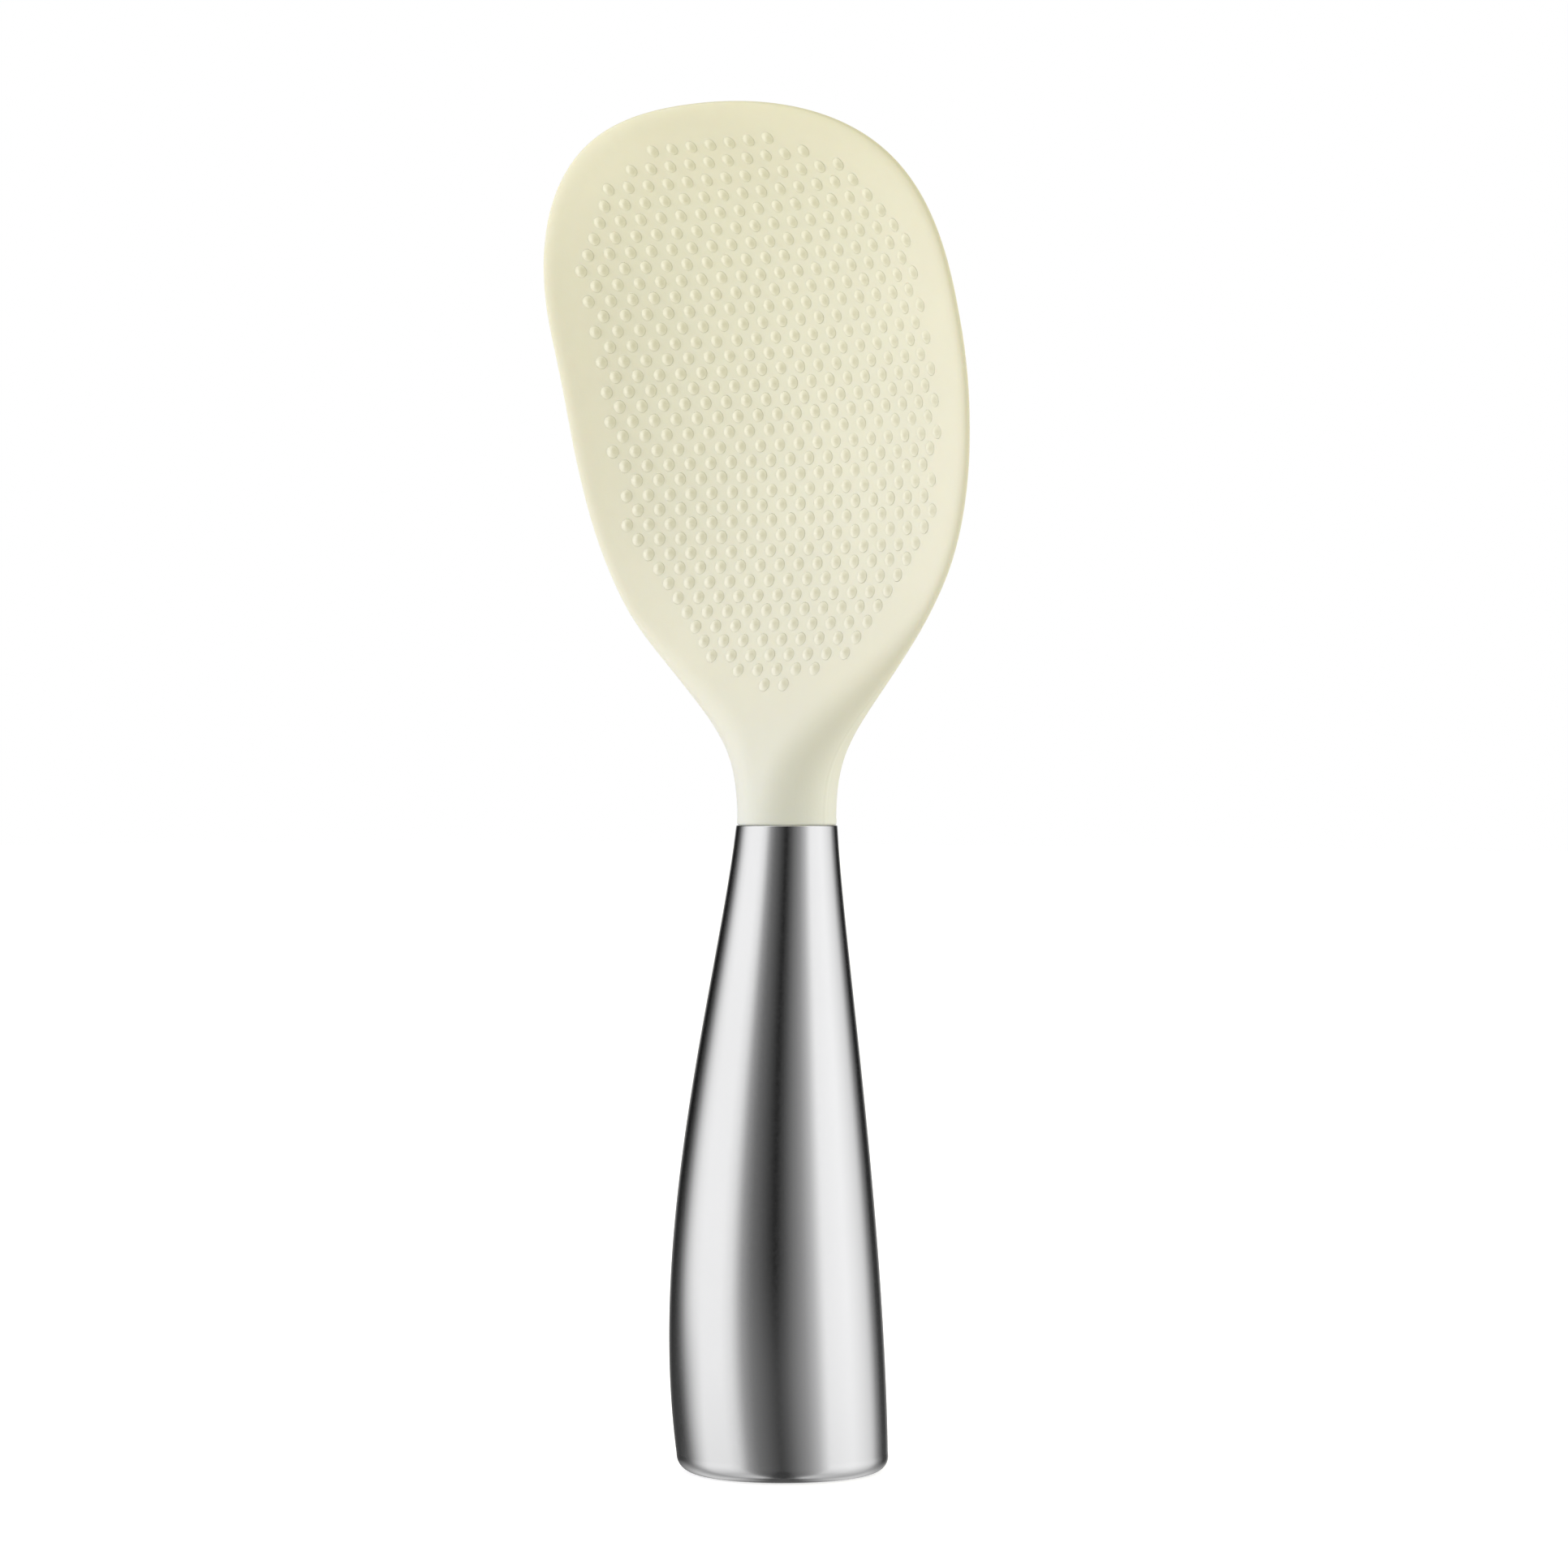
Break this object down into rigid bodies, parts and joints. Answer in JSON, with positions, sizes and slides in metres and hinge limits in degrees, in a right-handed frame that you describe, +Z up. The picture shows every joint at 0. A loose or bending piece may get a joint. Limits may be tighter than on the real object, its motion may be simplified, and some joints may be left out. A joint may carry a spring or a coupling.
{
  "type": "rice paddle",
  "caption": "Standing rice paddle: dished cream silicone scoop head with raised dots on a hollow flared stainless steel handle with a flat foot.",
  "frame": {"origin": "centre of the flat foot that the paddle stands on", "axes": "+Z up along the handle to the tip, the dished face looks along -Y, and the paddle is symmetric about X = 0"},
  "size_m": [0.0846, 0.0388, 0.2158],
  "materials": {
    "silicone": "satin cream silicone rubber",
    "nylon": "natural moulded nylon, inside the silicone",
    "acetal": "dark grey moulded plastic, inside the handle",
    "steel": "fine satin polished stainless steel"
  },
  "bodies": {
    "root": {"silicone_head": "silicone", "blade_core": "nylon", "mouth_bush": "acetal", "handle_half_left": "steel", "handle_half_right": "steel", "foot_cap": "steel"}
  },
  "joints": []
}
